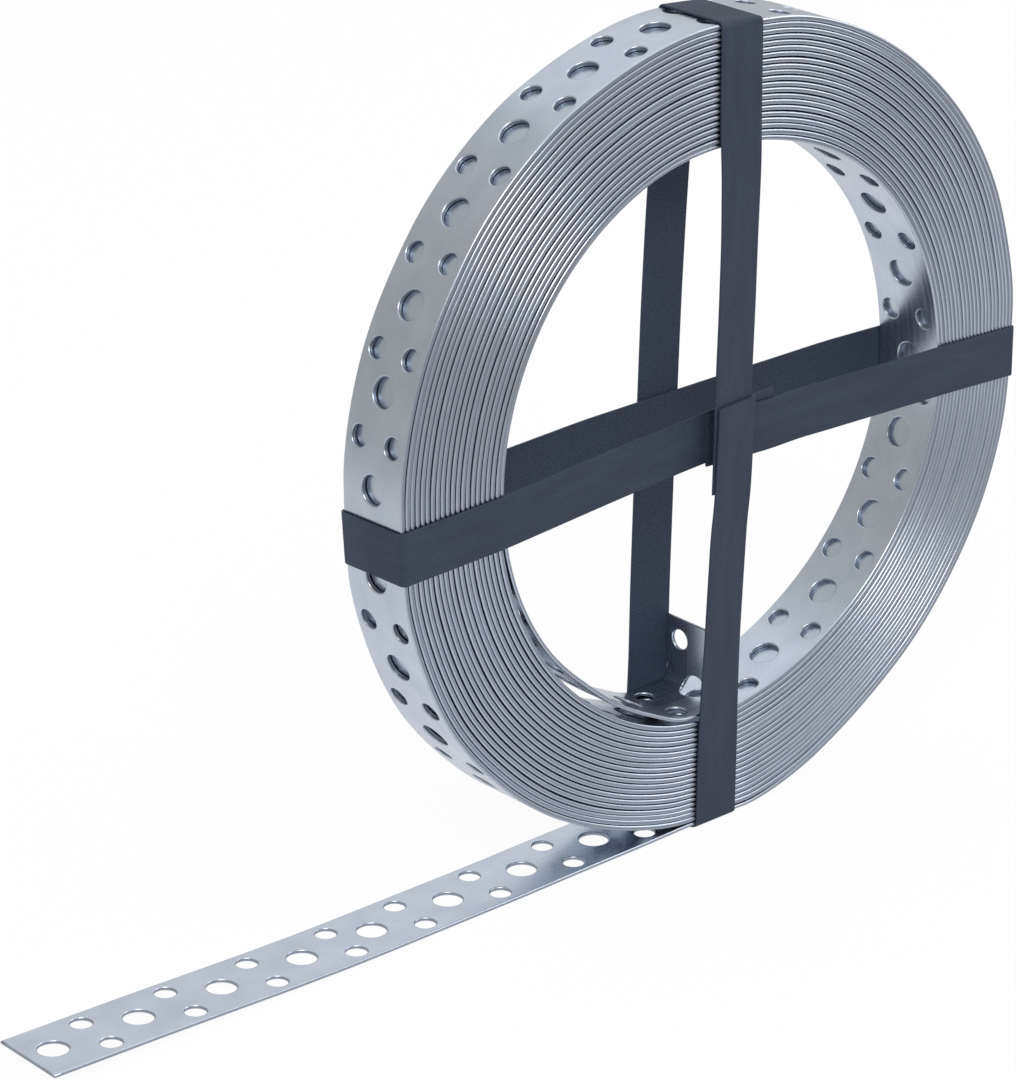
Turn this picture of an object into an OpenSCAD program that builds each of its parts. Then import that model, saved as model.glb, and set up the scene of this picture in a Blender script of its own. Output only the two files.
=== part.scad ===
// Coil of perforated steel strap, standing on its rim and held by two crossed packing bands.
// The origin is on the floor, straight under the coil's axis. The coil's axis runs along Y,
// and the free tail of the strap runs out along -X.

/* [Strap] */
// Width of the strap
strap_w = 20; // [16.5:0.5:30]
// Thickness of the strap
strap_t = 1.0; // [0.6:0.1:1.2]

/* [Coil] */
// Height of the coil from the foot of its outermost turn to its crown
coil_d = 196.6; // [170:0.2:320]
// Number of turns wound on the coil
turns = 21; // [8:1:25]
// Step from one turn to the next at the crown
crown_step = 1.42; // [1.3:0.01:1.6]
// Step from one turn to the next at the foot, where the coil's weight packs it
foot_step = 1.39; // [1.25:0.01:1.6]
// How far the centre of the winding walks sideways from the outermost turn to the innermost
side_walk = 1.5; // [0:0.1:3]
// Width of the gap that shows between two turns
turn_gap = 0.36; // [0.2:0.01:0.5]
// Depth of that gap, from each side of the coil
gap_depth = 2.5; // [1:0.5:8]
// Width under the upright band where its pull presses the turns together and no gap shows
pressed_w = 6; // [2:0.5:10]

/* [Tail] */
// Length of the tail, from under the coil's axis to its cut end
tail_l = 194.2; // [150:0.1:400]
// Stretch of tail over which it comes down from the coil to the floor
ramp_l = 60; // [30:1:90]
// Stretch at the cut end that still keeps some curl from the roll
curl_l = 74.2; // [40:0.1:130]
// How far that curl lifts the cut end off the floor
end_rise = 2.5; // [0:0.1:6]

/* [Inner end] */
// How much smaller than its seat the innermost half turn has sprung
spring_in = 1.5; // [1.4:0.1:3]
// Angle that the sprung half turn goes round before it flattens
spring_turn = 140; // [120:1:150]
// How much larger the flatter stretch's radius is
flatter_by = 15; // [5:1:30]
// Inside radius of the bend at the end
end_bend_r = 2.0; // [1:0.1:4]
// How far beside the coil's middle line the bent-up end stands
end_x = 1.6; // [0:0.1:8]
// Margin from the last pair of small holes to the cut edge of the bent-up end
end_margin = 5.4; // [4:0.1:8]

/* [Holes] */
// Distance from one large hole to the next, on the tail
hole_pitch = 22.7; // [18:0.1:40]
// The same distance on the coil's faces, where the feed ran a little short
coil_pitch = 22.3; // [18:0.1:40]
// Diameter of the large holes
large_d = 7; // [4:0.1:10]
// Diameter of the small holes
small_d = 5; // [3:0.1:6]
// Distance across the strap between the two small holes of a pair
pair_gap = 11.1; // [8:0.1:12]
// Margin from the cut edge of the tail to the first large hole
tail_margin = 6.7; // [5:0.1:12]
// How much one feed of the punch falls short
feed_slip = 2.4; // [0:0.1:4]
// Large holes of the tail before a short feed
first_slip = 4; // [4:1:8]
// Large holes of the coil's faces before a short feed, counted from the crown
second_slip = 5; // [3:1:8]
// Distance along the strap from the crown to the first large hole on the coil's left side
outer_phase = 13.5; // [8:0.1:22]
// The same distance on the bore's right side
inner_phase = 19.4; // [8:0.1:22]

/* [Packing bands] */
// Width of the bands
band_w = 12.7; // [8:0.1:16]
// Thickness of the bands
band_t = 0.6; // [0.5:0.1:1.2]
// How far the front of the level band is drawn into the bore
level_draw = 3; // [0:0.5:7]
// Slope of the level band, in degrees
level_slope = 0.5; // [0:0.5:4]
// How far the middle of the level band lies below the coil's axis
level_drop = 3.2; // [0:0.1:10]
// How far the front of the upright band stands off the coil's side
upright_bulge = 2.2; // [1:0.1:5]
// How far the upright band lies beside the coil's middle line
upright_x = 0.4; // [-4:0.1:4]
// Length of the lapped joint in each band
lap_l = 22; // [15:1:30]
// Height of the upright band's cut end above the coil's axis
lap_top = 9; // [0:0.5:20]
// Clearance between a band and what it lies on
band_clear = 0.05; // [0.02:0.01:0.1]

/* [Hidden] */
$fn = 96;
zinc = [0.72, 0.74, 0.76];
slate = [0.20, 0.23, 0.27];
more = 1; // how far a cutter runs past what it cuts
behind = 0.2; // how far a hole's cutter runs past a turn, into the gap behind it
arc_step = 5; // degrees between two points of an outline's arc
half_w = strap_w / 2;
foot_lift = band_t + band_clear; // the coil stands on the upright band
axis_z = foot_lift + coil_d / 2;
degrees = 180 / PI;

// The winding is a chain of half turns that meet on the middle line, x = 0. The heights of
// those meetings, from the coil's axis, set the radius and the centre of each half turn.
last = turns - 1;
function foot(k) = -coil_d / 2 + k * foot_step;
function crown(k) = coil_d / 2 - k * crown_step;
function walk(k) = side_walk * k / last;
function half_r(low, high, x) = norm([x, (high - low) / 2]);
function right_r(k) = half_r(foot(k), crown(k), walk(k));
function right_c(k) = [walk(k), (foot(k) + crown(k)) / 2];
function left_r(k) = half_r(foot(k + 1), crown(k), walk(k));
function left_c(k) = [walk(k), (foot(k + 1) + crown(k)) / 2];
mid_gap = (foot_step + crown_step) / 4 - strap_t / 2;
seat = 0.05; // how far the bore's right side stands in from the half turns that it meets
bore_r = right_r(last) - strap_t - seat;

// A point of an arc about c with radius r, where the strap travels in direction a.
function arc_point(c, r, a) = c + r * [sin(a), -cos(a)];
// The number of steps is odd, so that the hole in the middle of the bend starts on a face.
function arc_points(c, r, from, to) =
  let (n = 2 * ceil(abs(to - from) / arc_step / 2) + 1) [for (i = [0:n]) arc_point(c, r, from + (to - from) * i / n)];
function backwards(points) = [for (i = [len(points) - 1:-1:0]) points[i]];

// The inner end: half a turn sprung free, a flatter stretch, a bend and a short upright tab.
spring_r = left_r(last) - strap_t - spring_in;
spring_c = [0, crown(last) - strap_t - spring_r];
flat_r = spring_r + flatter_by;
flat_a = spring_turn - 180;
flat_c = arc_point(spring_c, -flatter_by, flat_a);
end_a = asin((end_x - end_bend_r - flat_c[0]) / (flat_r - end_bend_r));
end_c = arc_point(flat_c, flat_r - end_bend_r, end_a);
mid_r = strap_t / 2;
half_bend_l = (end_bend_r + mid_r) * (90 - end_a) / 2 / degrees;
flat_l = (flat_r + mid_r) * (end_a - flat_a) / degrees;
spring_l = (spring_r + mid_r) * spring_turn / degrees;
tab_l = hole_pitch / 2 - half_bend_l + end_margin;

// Large holes are strokes 0, 1, 2 and so on, and the pairs lie at the halves between them. A
// short feed brings every later stroke nearer. Tail strokes are measured from the foot of the
// coil and run on up its right side. Coil strokes are measured from the crown.
first_hole = tail_margin - tail_l;
function tail_stroke(n) = first_hole + n * hole_pitch - (n >= first_slip ? feed_slip : 0);
function coil_stroke(phase, n) = phase + n * coil_pitch - (n >= second_slip ? feed_slip : 0);
right_l = PI * right_r(0);
left_l = PI * left_r(0);
tail_strokes = floor((right_l - first_hole) / hole_pitch);
left_strokes = floor(left_l / coil_pitch);
bore_strokes = floor(PI * bore_r / coil_pitch);

// Stands a shape up that is drawn in X and Z with its depth along Y.
module stand() {
  translate([0, 0, axis_z]) rotate([90, 0, 0]) children();
}

module disc(c, r, w = strap_w) {
  translate([c[0], c[1], 0]) cylinder(r = r, h = w, center = true);
}

// The gap inside one half turn, as a ring cut into each side of the coil.
module gap_ring(c, r) {
  translate([c[0], c[1], 0]) rotate_extrude()
    for (z = [half_w - gap_depth, -half_w - more])
      translate([r - strap_t - mid_gap - turn_gap / 2, z]) square([turn_gap, gap_depth + more]);
}

module half_space(side, off = 0) {
  translate([side * (coil_d / 2 + off), 0, 0]) cube([coil_d, 2 * coil_d, 2 * strap_w], center = true);
}

module right_half() {
  difference() {
    intersection() {
      half_space(1);
      disc(right_c(0), right_r(0));
    }
    disc(right_c(last), bore_r, strap_w + 2 * more);
    intersection() {
      half_space(1, pressed_w / 2);
      for (k = [0:last - 1]) gap_ring(right_c(k), right_r(k));
    }
  }
}

module left_half() {
  difference() {
    intersection() {
      half_space(-1);
      disc(left_c(0), left_r(0));
    }
    disc(left_c(last - 1), left_r(last - 1) - strap_t, strap_w + 2 * more);
    intersection() {
      half_space(-1, pressed_w / 2);
      for (k = [0:last - 2]) gap_ring(left_c(k), left_r(k));
    }
  }
}

function end_side(out) = concat(
  arc_points(spring_c, spring_r + out, -180, flat_a),
  arc_points(flat_c, flat_r + out, flat_a, end_a),
  arc_points(end_c, end_bend_r + out, end_a, 90),
  [arc_point(end_c, end_bend_r + out, 90) + [0, tab_l]]);

module inner_end() {
  linear_extrude(strap_w, center = true) polygon(concat(end_side(0), backwards(end_side(strap_t))));
}

// The tail leaves the coil's foot level, comes down the ramp, lies flat on the floor and lifts a
// little towards its cut end. This is its underside's height above the floor at place x.
curl_x = curl_l - tail_l;
function tail_lift(x) =
  x > -ramp_l ? foot_lift * (1 + cos(180 * x / ramp_l)) / 2
  : x < curl_x ? end_rise * pow((curl_x - x) / curl_l, 2) : 0;
tail_x = [for (i = [0:12]) -ramp_l * i / 12, for (i = [0:12]) curl_x - curl_l * i / 12];
function tail_side(up) = [for (x = tail_x) [x, foot(0) + up + (tail_lift(x) - foot_lift)]];

module tail() {
  linear_extrude(strap_w, center = true) polygon(concat(tail_side(0), backwards(tail_side(strap_t))));
}

// One stroke of the punch, from radius r outwards by l at polar angle a: a large hole or a pair.
module punch(c, r, a, l, large) {
  places = large ? [0] : [-pair_gap / 2, pair_gap / 2];
  translate([c[0], c[1], 0]) rotate([0, 0, a])
    for (z = places) translate([r, 0, z]) rotate([0, 90, 0]) cylinder(d = large ? large_d : small_d, h = l);
}

// A stroke at distance s from the coil's foot: through the tail, or into the coil's right side.
module tail_punch(s, large) {
  depth = strap_t + mid_gap;
  above = s < -ramp_l ? more : behind;
  if (s < 0)
    punch([s, foot(0) - foot_lift + tail_lift(s) - more], 0, 90, more + strap_t + above, large);
  else
    punch(right_c(0), right_r(0) - depth, s / right_r(0) * degrees - 90, depth + more, large);
}

module tail_holes() {
  for (i = [0:tail_strokes - 1]) {
    tail_punch(tail_stroke(i), true);
    tail_punch(tail_stroke(i + 0.5), false);
  }
}

// A stroke at distance s past the crown, into the coil's left side.
module left_punch(s, large) {
  depth = strap_t + mid_gap;
  punch(left_c(0), left_r(0) - depth, s / left_r(0) * degrees + 90, depth + more, large);
}

module left_holes() {
  for (i = [0:left_strokes - 1]) {
    left_punch(coil_stroke(outer_phase, i), true);
    left_punch(coil_stroke(outer_phase, i - 0.5), false);
  }
}

// The right side of the bore is the second-last half turn's inner face.
module bore_punch(s, large) {
  punch(right_c(last), bore_r - more, 90 - s / bore_r * degrees, more + strap_t + mid_gap, large);
}

module bore_holes() {
  for (i = [0:bore_strokes - 1]) {
    bore_punch(coil_stroke(inner_phase, i), true);
    bore_punch(coil_stroke(inner_phase, i + 0.5), false);
  }
}

// A stroke at distance d back from the middle of the bend at the inner end.
module end_punch(d, large) {
  back = d - half_bend_l;
  l = more + strap_t + behind;
  if (back < flat_l)
    punch(flat_c, flat_r - more, end_a - 90 - back / (flat_r + mid_r) * degrees, l, large);
  else
    punch(spring_c, spring_r - more, flat_a - 90 - (back - flat_l) / (spring_r + mid_r) * degrees, l, large);
}

module end_holes() {
  strokes = floor((half_bend_l + flat_l + spring_l) / hole_pitch - 0.5);
  punch(end_c, 0, (end_a - 90) / 2, end_bend_r + strap_t + behind, true);
  punch([end_c[0], end_c[1] + tab_l - end_margin], end_bend_r - more, 0, strap_t + 2 * more, false);
  for (i = [1:strokes]) {
    end_punch((i - 0.5) * hole_pitch, false);
    end_punch(i * hole_pitch, true);
  }
}

module perforated_strap() {
  color(zinc) stand() difference() {
    union() {
      right_half();
      left_half();
      inner_end();
      tail();
    }
    tail_holes();
    left_holes();
    bore_holes();
    end_holes();
  }
}

// A band is a closed loop: the side it lies on the coil with, and the same side moved out by its
// thickness, with its corners bent round the coil's edges.
function corner(p, r, from) = [for (a = [from:15:from + 90]) p + r * [cos(a), sin(a)]];

// Height of the bore's edge above and below the axis, where the upright band leaves the coil.
bore_top = crown(last) - strap_t;
bore_foot = foot(last) + strap_t;
side_y = half_w + band_clear;
cross_y = band_t + band_clear;
cross_z = band_w / 2 + 2;
lap_foot = lap_top - lap_l;
run_in = 10; // length over which a lapped layer comes back down to the layer below
bulge_z = (lap_top + lap_foot) / 2;

function stand_off(z) = upright_bulge * (z > bulge_z ? (bore_top - z) / (bore_top - bulge_z)
                                                      : (z - bore_foot) / (bulge_z - bore_foot));
function front_y(z, out) = -side_y - stand_off(z) - out;

function upright_side(out) =
  let (top = coil_d / 2 + band_clear, low = -coil_d / 2 - band_clear, under = out > 0 ? 0 : band_t, over = out > 0 ? band_t : 0)
  concat(
    corner([side_y, low], out, 270),
    [[side_y + out, bore_foot],
     [side_y + cross_y + out, -level_drop - cross_z],
     [side_y + cross_y + out, -level_drop + cross_z],
     [side_y + out, bore_top]],
    corner([side_y, top], out, 0),
    corner([-side_y, top], out, 90),
    [[-side_y - out, bore_top],
     [front_y(lap_top, out), lap_top],
     [front_y(lap_top, out + over), lap_top - 0.01],
     [front_y(bulge_z, out + over), bulge_z],
     [front_y(lap_foot, out + over), lap_foot],
     [front_y(lap_foot, out + band_t), lap_foot - 0.01],
     [front_y(lap_foot - run_in, out), lap_foot - run_in],
     [-side_y - out, bore_foot]],
    corner([-side_y, low], out, 180));

module upright_packing_band() {
  color(slate) translate([upright_x - band_w / 2, 0, axis_z])
    rotate([90, 0, 90]) linear_extrude(band_w) difference() {
      polygon(upright_side(band_t));
      polygon(upright_side(0));
    }
}

left_x = -left_r(0) / cos(level_slope) - band_clear;
right_x = right_r(0) / cos(level_slope) + band_clear;
left_bore = 2 - spring_r;
right_bore = walk(last) + bore_r - 2;
level_lap_x = upright_x - cross_z; // the lapped joint lies behind the upright band
draw_y = level_draw - side_y;

function level_side(out) = concat(
  corner([left_x, -side_y], out, 180),
  [[left_bore, -side_y - out], [level_lap_x, draw_y - out]],
  out > 0 ? [[level_lap_x + 0.01, draw_y - 2 * out], [level_lap_x + lap_l, draw_y - 2 * out]] : [],
  [[level_lap_x + lap_l + run_in, draw_y - out], [right_bore, -side_y - out]],
  corner([right_x, -side_y], out, 270),
  corner([right_x, side_y], out, 0),
  corner([left_x, side_y], out, 90));

module level_packing_band() {
  color(slate) translate([0, 0, axis_z - level_drop]) rotate([0, -level_slope, 0])
    linear_extrude(band_w, center = true) difference() {
      polygon(level_side(band_t));
      polygon(level_side(0));
    }
}

perforated_strap();
upright_packing_band();
level_packing_band();
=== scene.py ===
# %% [markdown]
# # A coil of perforated steel strap
#
# This strap is slit from galvanised sheet, 20 mm wide and 1 mm thick, and punched with large and
# small holes in turn. About 11 m of it is wound into a coil of 21 turns, and two plastic packing
# bands hold the coil. The free end lies on the floor.
#
# The lesson builds it the way the maker does: lay out one long flat strap, punch it, round its
# edges, and then bend it along the path of the winding. The CAD model gives the main sizes and
# the place. The strap's sizes are in millimetres and turn into metres when a mesh is made.

import math

import bpy
import numpy as np
from mathutils import Matrix, Vector
from mathutils.geometry import delaunay_2d_cdt


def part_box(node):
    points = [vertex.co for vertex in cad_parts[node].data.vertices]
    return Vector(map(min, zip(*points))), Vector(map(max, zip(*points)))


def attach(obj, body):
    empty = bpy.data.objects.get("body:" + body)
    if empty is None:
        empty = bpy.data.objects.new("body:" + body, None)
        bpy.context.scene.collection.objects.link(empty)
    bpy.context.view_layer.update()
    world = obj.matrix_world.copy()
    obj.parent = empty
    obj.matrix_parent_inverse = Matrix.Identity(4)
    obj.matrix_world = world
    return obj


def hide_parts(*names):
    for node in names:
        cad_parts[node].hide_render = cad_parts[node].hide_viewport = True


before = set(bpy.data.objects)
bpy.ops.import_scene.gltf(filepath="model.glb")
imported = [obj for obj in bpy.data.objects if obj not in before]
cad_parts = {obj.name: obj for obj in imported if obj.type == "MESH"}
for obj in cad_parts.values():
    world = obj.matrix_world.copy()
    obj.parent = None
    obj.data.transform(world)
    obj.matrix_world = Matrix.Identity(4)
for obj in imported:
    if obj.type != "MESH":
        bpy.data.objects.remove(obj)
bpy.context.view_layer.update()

# %% [markdown]
# ## Sizes that the CAD boxes give
#
# The coil stands on the upright band, so the band is the lowest thing under the coil and the
# highest thing over it. The two boxes give the coil's height and the height of its axis.

# %% Read the sizes
mm = 1000.0
strap_low, strap_high = (np.array(corner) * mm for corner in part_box("perforated_strap"))
upright_high = np.array(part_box("upright_packing_band")[1]) * mm

foot_lift = upright_high[2] - strap_high[2]
coil_d = strap_high[2] - foot_lift
axis_z = foot_lift + coil_d / 2
strap_w = strap_high[1] - strap_low[1]
tail_l = -strap_low[0]
strap_t = 1.0
print(f"coil {coil_d:.2f} high, axis at {axis_z:.2f}, strap {strap_w:.2f} wide, tail {tail_l:.2f} long")

# %% [markdown]
# ## The path of the winding
#
# A wound strap is a spiral, and a spiral can be drawn as a chain of half turns. Each half turn is
# a half circle that meets the next one above or below the axis, a little further in each time.
# The path follows the outer face of the strap. At each station it holds the length so far, the
# place in X and Z, and the direction of travel. Blender's own spiral curve can't change its step
# at the crown and the foot, so the path is made of numbers.

# %% Half turns
turns = 21
crown_step = 1.42
foot_step = 1.39
side_walk = 1.5
last = turns - 1


def foot(k):
    return -coil_d / 2 + k * foot_step


def crown(k):
    return coil_d / 2 - k * crown_step


def half_turn(low, high, x):
    """Centre and radius of a half circle through two points under and over the axis."""
    return (x, (low + high) / 2), math.hypot(x, (high - low) / 2)


def right_half(k):
    return half_turn(foot(k), crown(k), side_walk * k / last)


def left_half(k):
    """The left half of turn k ends one step further in."""
    return half_turn(foot(k + 1), crown(k), side_walk * k / last)


print("outermost radius", round(right_half(0)[1], 2), "innermost radius", round(left_half(last)[1], 2))


# %% Legs of the path
def arc(centre, radius, start, end, measured_in, step=1.5):
    """Stations on an arc: the length of each step, X, Z and the direction of travel in degrees.

    measured_in says how deep in the strap, below its outer face, the lengths are measured."""
    count = max(2, int(math.ceil(abs(end - start) / step)))
    angle = np.linspace(start, end, count + 1)
    lean = np.radians(angle)
    length = np.full(count + 1, (radius - measured_in) * math.radians(abs(end - start)) / count)
    length[0] = 0
    x = centre[0] + radius * np.sin(lean)
    z = centre[1] - radius * np.cos(lean)
    return np.column_stack([length, x, z, angle])


def winding(first, until, measured_in=0.0):
    """The full turns from first up to, but not including, until."""
    legs = []
    for k in range(first, until):
        for (centre, radius), side in ((right_half(k), 0), (left_half(k), 180)):
            off = math.degrees(math.asin(centre[0] / radius))
            ends = (-off, 180 + off) if side == 0 else (180 + off, 360 - off)
            leg = arc(centre, radius, *ends, measured_in)
            leg[:, 3] += 360 * (k - first)
            legs.append(leg)
    return legs


def legs_length(legs):
    return sum(leg[:, 0].sum() for leg in legs)


print(f"strap in the coil: {legs_length(winding(0, turns, strap_t / 2)) / mm:.2f} m")

# %% [markdown]
# ## The tail
#
# The tail leaves the coil's foot on top of the upright band, comes down to the floor, lies flat
# and lifts a little towards its cut end, because the strap keeps some of the roll's curl. It is a
# short list of heights along X with its corners rounded off, so it can be made from the same
# stations as the half turns.

# %% Tail stations
tail_step = 2.0
tail_shape = [
    (-196, 2.8), (-185, 2.45), (-166, 1.9), (-155, 1.5), (-142, 1.0), (-128, 0.45), (-113, 0.08), (-100, 0),
    (-60, 0), (-44, 0.25), (-25, 0.35), (-12, 0.6), (-8, foot_lift), (10, foot_lift),
]


def eased(where, knots, reach=4.0):
    """The value on a chain of straight lines through knots, with its corners rounded off."""
    at, value = np.transpose(knots)
    steps = np.linspace(-reach, reach, 9)
    return np.mean([np.interp(where + step, at, value) for step in steps], axis=0)


def tail_leg():
    x = np.linspace(-tail_l, 0, int(tail_l / tail_step) + 1)
    z = foot(0) - foot_lift + eased(x, tail_shape)
    slope = np.degrees(np.arctan(np.gradient(z, x)))
    length = np.concatenate([[0], np.hypot(np.diff(x), np.diff(z))])
    return np.column_stack([length, x, z, slope])


print("cut end lifts", round(float(eased(-tail_l, tail_shape)), 2))

# %% [markdown]
# ## The inner end
#
# The innermost half turn has sprung free of the turn that it lay in. It goes round, comes down
# nearly straight, lies flat at the bore's foot and ends in a sharp bend with a short tab standing
# up. The bend was made in the winding machine's slot, to start the roll. The stretch before the
# bend isn't an arc, so it is a smooth curve through a few points.

# %% Inner end sizes
spring_in = 1.5
spring_turn = 140.0
end_bend_r = 2.0
end_x = 1.6
end_bend_z = -66.9
end_margin = 5.4
hole_pitch = 22.7

spring_r = left_half(last)[1] - strap_t - spring_in
spring_c = (0.0, crown(last) - strap_t - spring_r)
end_c = (end_x - end_bend_r, end_bend_z)
half_bend_l = (end_bend_r + strap_t / 2) * math.radians(90) / 2
tab_l = hole_pitch / 2 - half_bend_l + end_margin
flat_points = [
    (-50.9, -42.2), (-43.72, -50.23), (-34.3, -58.1), (-27.4, -62.5), (-20.6, -66.0), (-15.2, -68.6),
    (-10.6, -69.95), (-5.4, -70.0), (-0.4, -69.9), (4.4, -69.9),
]
print("the tab stands from", round(end_c[1], 1), "to", round(end_c[1] + tab_l, 1), "beside the axis")


# %% Inner end stations
def smooth(a, b, c, d, share):
    """A smooth curve from b to c. The points a and d, before and after them, steer it."""
    return 0.5 * (2 * b + (c - a) * share + (2 * a - 5 * b + 4 * c - d) * share**2
                  + (3 * b - a - 3 * c + d) * share**3)


def smooth_leg(points, measured_in, count=12):
    """Stations on a smooth curve through the points. The first and the last only steer it."""
    points = np.array(points)
    share = np.linspace(0, 1, count, endpoint=False)[:, None]
    pieces = [smooth(*four, share) for four in zip(points, points[1:], points[2:], points[3:])]
    line = np.concatenate(pieces + [points[-2:-1]])
    toward = np.gradient(line, axis=0)
    angle = np.degrees(np.unwrap(np.arctan2(toward[:, 1], toward[:, 0])))
    length = np.concatenate([[0], np.hypot(*np.diff(line, axis=0).T)])
    length[1:] -= measured_in * np.radians(np.diff(angle))
    return np.column_stack([length, line, angle])


def tab_leg():
    """Straight up from the bend to the cut edge."""
    rise = np.linspace(0, tab_l, 9)
    x = np.full(len(rise), end_c[0] + end_bend_r + strap_t)
    return np.column_stack([np.diff(rise, prepend=0), x, end_c[1] + rise, np.full(len(rise), 90)])


def end_legs():
    """From the crown of the sprung half turn to the cut edge of the tab, on the outer face."""
    middle = strap_t / 2
    return [
        arc(spring_c, spring_r + strap_t, -180, spring_turn - 180, middle),
        smooth_leg(flat_points, middle),
        arc(end_c, end_bend_r + strap_t, 0, 90, middle, step=6),
        tab_leg(),
    ]


print("from the last crown to the cut edge:", round(legs_length(end_legs()), 1))

# %% [markdown]
# ## Small unevenness
#
# No roll is perfectly round. The bands press flat spots into it at four places, and between them
# it bulges. Two lists say how far the outermost turn and the innermost turn lie outside the true
# circle, at angles counted from the foot. The turns between them share both. Each turn also
# wanders a little by itself, less where a band holds it. That is a smooth random line with a
# fixed seed, so the coil comes out the same at every run.

# %% Shape lists
outer_shape = [
    (0, 0), (2.5, 0), (6, 0.9), (12, 0.65), (18, 0.2), (24, -0.5), (30, -0.9), (36, -0.9), (42, -0.5),
    (54, -0.2), (66, 0.3), (78, 0.2), (84, -0.3), (88, -0.4), (92, -0.3), (97, 0.3), (106, 0.25), (114, 0.7),
    (126, 0.65), (138, 0.2), (165, 0.15), (170, -0.2), (174, -0.7), (178, -0.45), (182, 0), (186, 0.22),
    (198, 0.15), (204, 0.3), (210, 0.8), (228, 0.9), (236, 0.45), (246, 0.45), (256, 0), (264, -0.35),
    (268, -0.85), (272, -0.95), (276, -0.85), (280, -0.45), (288, -0.65), (294, -0.55), (302, -0.2),
    (314, -0.55), (324, -0.25), (336, -0.15), (345, 0.1), (352, 0.6), (356, 0.4), (360, 0.1),
]
inner_shape = [
    (0, 1.8), (7, 1.0), (30, 0.6), (60, 1.5), (85, 1.85), (95, 1.35), (120, 1.15), (150, 0.9), (165, 0.5),
    (180, 0.6), (195, 0.9), (220, 0.6), (240, 0.25), (280, -0.1), (300, 0), (327, 1.0), (339, 2.0),
    (350, 2.5), (360, 1.9),
]
held_at = np.array([0, 88, 178, 272, 360])
hold_share, hold_reach = 0.9, 8
own_wander, own_every = 0.07, 30
side_wander, side_every = 0.16, 72
own_random = np.random.RandomState(23)
own_knots = own_random.uniform(-1, 1, (turns + 4) * 360 // own_every)
side_knots = own_random.uniform(-1, 1, (turns + 4) * 360 // side_every)
print("the outermost turn bulges by", max(lift for angle, lift in outer_shape))


# %% Waves
def smooth_between(knots, where):
    """A smooth curve through knots that are one unit apart."""
    where = np.clip(where, 1, len(knots) - 3)
    i = np.floor(where).astype(int)
    return smooth(knots[i - 1], knots[i], knots[i + 1], knots[i + 2], where - i)


def free(angle):
    """One between the bands, and nearly nothing where a band holds the turns."""
    off = np.min(np.abs((angle % 360)[:, None] - held_at), axis=1)
    return 1 - hold_share * np.exp(-((off / hold_reach) ** 2))


def shape_wave(angle):
    """How far a turn lies outside its true half circles. The angle goes on from turn to turn."""
    share = np.clip(angle / 360 / last, 0, 1)
    here = angle % 360
    shared = (1 - share) * eased(here, outer_shape, 1.6) + share * eased(here, inner_shape, 4)
    return shared + own_wander * free(angle) * smooth_between(own_knots, 2 + angle / own_every)


def side_wave(angle):
    """How far one turn stands out of the coil's side, along Y."""
    return side_wander * free(angle) * smooth_between(side_knots, 2 + angle / side_every)


print("unevenness at every 60 degrees:", np.round(shape_wave(np.arange(0, 360, 60.0)), 2))

# %% [markdown]
# ## Bending flat points onto the path
#
# Each sheet is meshed flat first: one number says how far along the strap a point lies, one says
# how far across, and one how deep it is below the outer face. This function bends such points
# onto the path. The same function turns the flat directions, so each point keeps the exact
# direction of its surface, and Blender can shade the rounded edges without a dense mesh.

# %% Path and bend
def make_path(legs, start, turn_angle, share=None):
    """Joins legs into one path. Its lengths start at start, its angles count from turn_angle.

    share says for each length how much of the unevenness the path takes."""
    rows = np.concatenate([legs[0]] + [leg[1:] for leg in legs[1:]])
    length = start + np.cumsum(rows[:, 0])
    angle = rows[:, 3]
    whole = angle + turn_angle
    taken = np.ones_like(length) if share is None else share(length)
    lift = taken * shape_wave(whole)
    lean = np.radians(angle)
    return {
        "s": length,
        "x": rows[:, 1] + lift * np.sin(lean),
        "z": rows[:, 2] - lift * np.cos(lean),
        "angle": angle - np.degrees(np.arctan(np.gradient(lift, length))),
        "side": taken * side_wave(whole),
    }


def bend_onto(path, s, y, depth):
    """Points in metres, and the three directions there: outward, along and across the strap."""
    x, z, angle, side = (np.interp(s, path["s"], path[label]) for label in ("x", "z", "angle", "side"))
    lean = np.radians(angle)
    nothing = np.zeros_like(lean)
    out = np.column_stack([np.sin(lean), nothing, -np.cos(lean)])
    along = np.column_stack([np.cos(lean), nothing, np.sin(lean)])
    across = np.tile([0.0, 1.0, 0.0], (len(lean), 1))
    point = np.column_stack([x, y + side, z + axis_z]) - out * depth[:, None]
    return point / mm, out, along, across


print("one turn of the outer face is", round(make_path(winding(0, 1), 0, 0)["s"][-1], 1), "long")

# %% [markdown]
# ## Meshes from points
#
# One helper turns points, faces and surface directions into a Blender object. It also turns any
# face round that looks the wrong way, stores lengths along and across the strap for the finish,
# and sets the exact shading directions. Blender's own smoothing would round a narrow rim and the
# wide face beside it as one.

# %% Mesh helper
def unit(vectors):
    return vectors / np.linalg.norm(vectors, axis=1)[:, None]


def torn(lean):
    """How much bare, torn steel shows where a rounded edge leans this far from the face; the same share
    darkens the colour as painted shade.
    """
    return np.interp(math.sin(lean), [0.8, 0.87, 1], [0, 0.35, 1])


def facing_out(points, directions, faces):
    """The faces, with those turned round that look against their points' directions."""
    p = points[faces]
    normal = np.cross(p[:, 1] - p[:, 0], p[:, 2] - p[:, 0])
    if faces.shape[1] == 4:
        normal = normal + np.cross(p[:, 2] - p[:, 0], p[:, 3] - p[:, 0])
    wrong = (normal * directions[faces].sum(axis=1)).sum(axis=1) < 0
    turned = faces.copy()
    turned[wrong] = turned[wrong][:, ::-1]
    return turned.tolist()


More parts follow.
